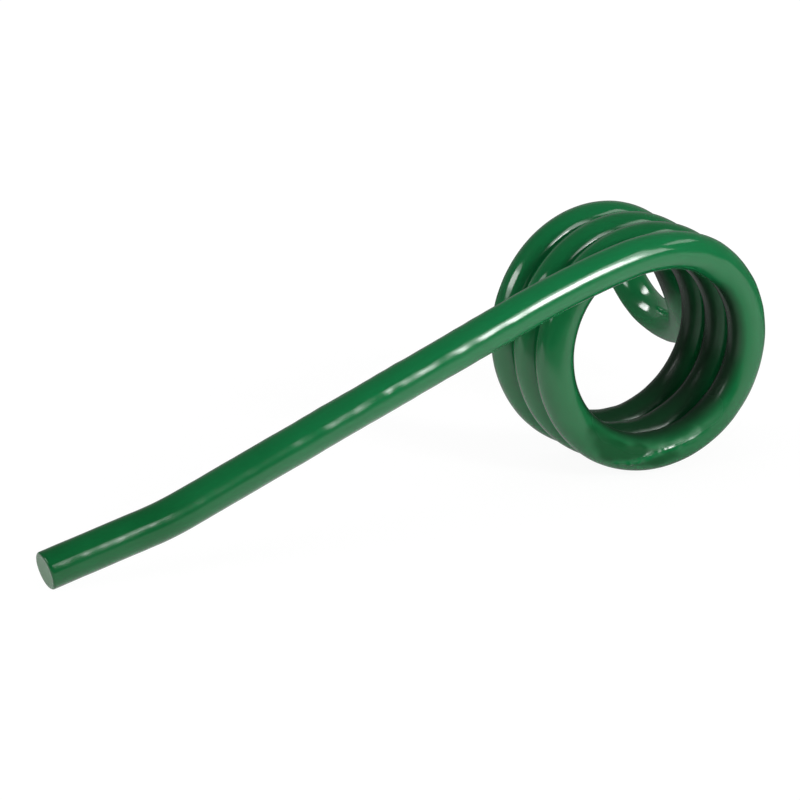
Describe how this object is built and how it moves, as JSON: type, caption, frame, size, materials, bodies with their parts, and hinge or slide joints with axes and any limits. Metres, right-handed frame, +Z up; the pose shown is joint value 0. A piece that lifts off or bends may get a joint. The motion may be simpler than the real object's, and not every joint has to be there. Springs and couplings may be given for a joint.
{
  "type": "baler pick-up tine",
  "caption": "Round spring-wire tine: a long straight leg with a slightly set tip, a close-wound coil and an open hooked end, painted green.",
  "frame": {"origin": "on the coil's axis, where the first full turn begins beside the leg", "axes": "+Y runs along the coil's axis from the front turn, which carries the leg, to the hooked end; +Z is up as the tine lies at rest on its coil and the leg's tip; the leg points along -X and slopes down to its tip"},
  "size_m": [0.1392, 0.0668, 0.0404],
  "materials": {
    "painted_wire": "gloss green enamel"
  },
  "bodies": {
    "root": {"pickup_tine": "painted_wire"}
  },
  "joints": []
}
